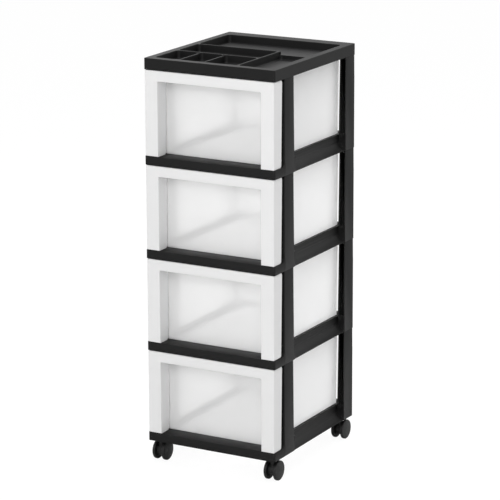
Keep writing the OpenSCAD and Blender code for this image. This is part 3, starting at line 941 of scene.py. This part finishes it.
def hood_mesh(corner):
    """A barrel round the axle, and a neck that carries the swivel disc under the frame."""
    node = f"caster_{corner}_hood"
    low, high = (Vector(point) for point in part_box(node))
    stem_low, stem_high = (Vector(point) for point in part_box(f"caster_{corner}_stem"))
    axle_low, axle_high = (Vector(point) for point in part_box(f"caster_{corner}_axle"))
    stem, axle = (stem_low + stem_high) / 2, (axle_low + axle_high) / 2
    barrel_r, axle_r = axle.z - low.z, (axle_high.z - axle_low.z) / 2
    along = Vector((BARREL_HALF, 0, 0))
    barrel_top, disc_z = axle.z + barrel_r, high.z - DISC_T
    # on the stem's axis: what it does, its name, its heights, its radius
    upright = [
        ("UNION", "neck", axle.z, disc_z, NECK_R),
        ("UNION", "collar", barrel_top - COLLAR_BELOW, barrel_top + COLLAR_ABOVE, COLLAR_R),
        ("UNION", "disc", disc_z, high.z, DISC_R),
        ("DIFFERENCE", "stem_bore", stem_low.z, high.z + 1 * MM, BORE_R)]
    steps = [(operation, rod(name, (stem.x, stem.y, low_z), (stem.x, stem.y, high_z), radius))
             for operation, name, low_z, high_z, radius in upright]
    steps.append(("DIFFERENCE", rod("axle_bore", axle - 2 * along, axle + 2 * along, axle_r)))
    return carve(rod(f"caster_cover_{corner}", axle - along, axle + along, barrel_r), steps)


def dress_hood(corner):
    mesh = hood_mesh(corner)
    hood = bpy.data.objects.new(mesh.name, mesh)
    scene.collection.objects.link(hood)
    soften(hood, HOOD_EDGE)
    mesh.materials.append(wheel_black)
    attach(hood, f"swivel_{corner}")
    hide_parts(f"caster_{corner}_hood")
    return hood


hoods = [dress_hood(corner) for corner in CORNERS]
for corner in CORNERS:
    for part in ("stem", "axle", "sleeve"):
        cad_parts[f"caster_{corner}_{part}"].material_slots[0].material = steel
print("casters:", len(wheels), "wheels,", len(hoods), "hoods")

# %% [markdown]
# ## Floor, world and lamps
# The tower stands on a plain white floor in front of a white world. Camera, glossy and
# transmitted rays see the world as plain white, while the light that it sheds is lower, so that
# white plastic keeps its shades.

# %% Floor
FLOOR_HALF = 6.0
FLOOR_GREY = (0.86, 0.86, 0.86, 1)
# the share of the white that the camera sees in place of the lit floor, and how bright it is
FLOOR_SHARE, FLOOR_WHITE = 0.85, 1.08


def lay_floor():
    mesh = bpy.data.meshes.new("floor")
    mesh.from_pydata([(x, y, 0) for x, y in ((-1, -1), (1, -1), (1, 1), (-1, 1))], [],
                     [(0, 1, 2, 3)])
    mesh.transform(Matrix.Scale(FLOOR_HALF, 4))
    floor = bpy.data.objects.new("floor", mesh)
    scene.collection.objects.link(floor)
    material, board = surface("white_floor")
    seen = board.outputs("ShaderNodeLightPath")["Is Camera Ray"]
    plain = board.node("ShaderNodeBsdfDiffuse", None, {"Color": FLOOR_GREY})
    white = board.node("ShaderNodeEmission", None,
                       {"Color": (1, 1, 1, 1), "Strength": FLOOR_WHITE})
    mixed = board.node("ShaderNodeMixShader", None, [FLOOR_SHARE * seen, plain, white])
    board.node("ShaderNodeOutputMaterial", None, [mixed])
    mesh.materials.append(material)


lay_floor()
print("floor:", 2 * FLOOR_HALF, "m wide")


# %% World
WORLD_SHEDS = 0.54


def light_world(shed):
    world = bpy.data.worlds.new("white_studio")
    world.use_nodes = True
    world.node_tree.nodes.clear()
    board = Board(world.node_tree)
    path = board.outputs("ShaderNodeLightPath")
    shown = (path["Is Camera Ray"] + path["Is Glossy Ray"] + path["Is Transmission Ray"]) > 0.5
    sky = board.node("ShaderNodeBackground", None,
                     {"Color": (1, 1, 1, 1), "Strength": shown * (1 - shed) + shed})
    board.node("ShaderNodeOutputWorld", None, [sky])
    scene.world = world


light_world(WORLD_SHEDS)
print("world sheds", WORLD_SHEDS, "of its white")


# %% Lamps
def soft_lamp(name, place, side, watts):
    """A square lamp that looks at the tower's middle."""
    lamp = bpy.data.objects.new(name, bpy.data.lights.new(name, "AREA"))
    lamp.data.shape, lamp.data.size, lamp.data.energy = "SQUARE", side, watts
    lamp.location = place
    lamp.rotation_euler = (LOOK_AT - Vector(place)).to_track_quat("-Z", "Y").to_euler()
    scene.collection.objects.link(lamp)


# name: its place, its side, its watts
LAMPS = {
    "front_lamp": ((0.85, -3.2, 2.4), 2.2, 66),
    "back_lamp": ((-2.2, 1.6, 0.55), 2.2, 18),
    "top_lamp": ((0.3, 0.2, 3.2), 1.8, 18),
    "right_lamp": ((2.6, 1.6, 2.4), 2.2, 18)}
for name, (place, side, watts) in LAMPS.items():
    soft_lamp(name, place, side, watts)
scene.view_settings.view_transform = "Standard"
print("lamps:", ", ".join(LAMPS))
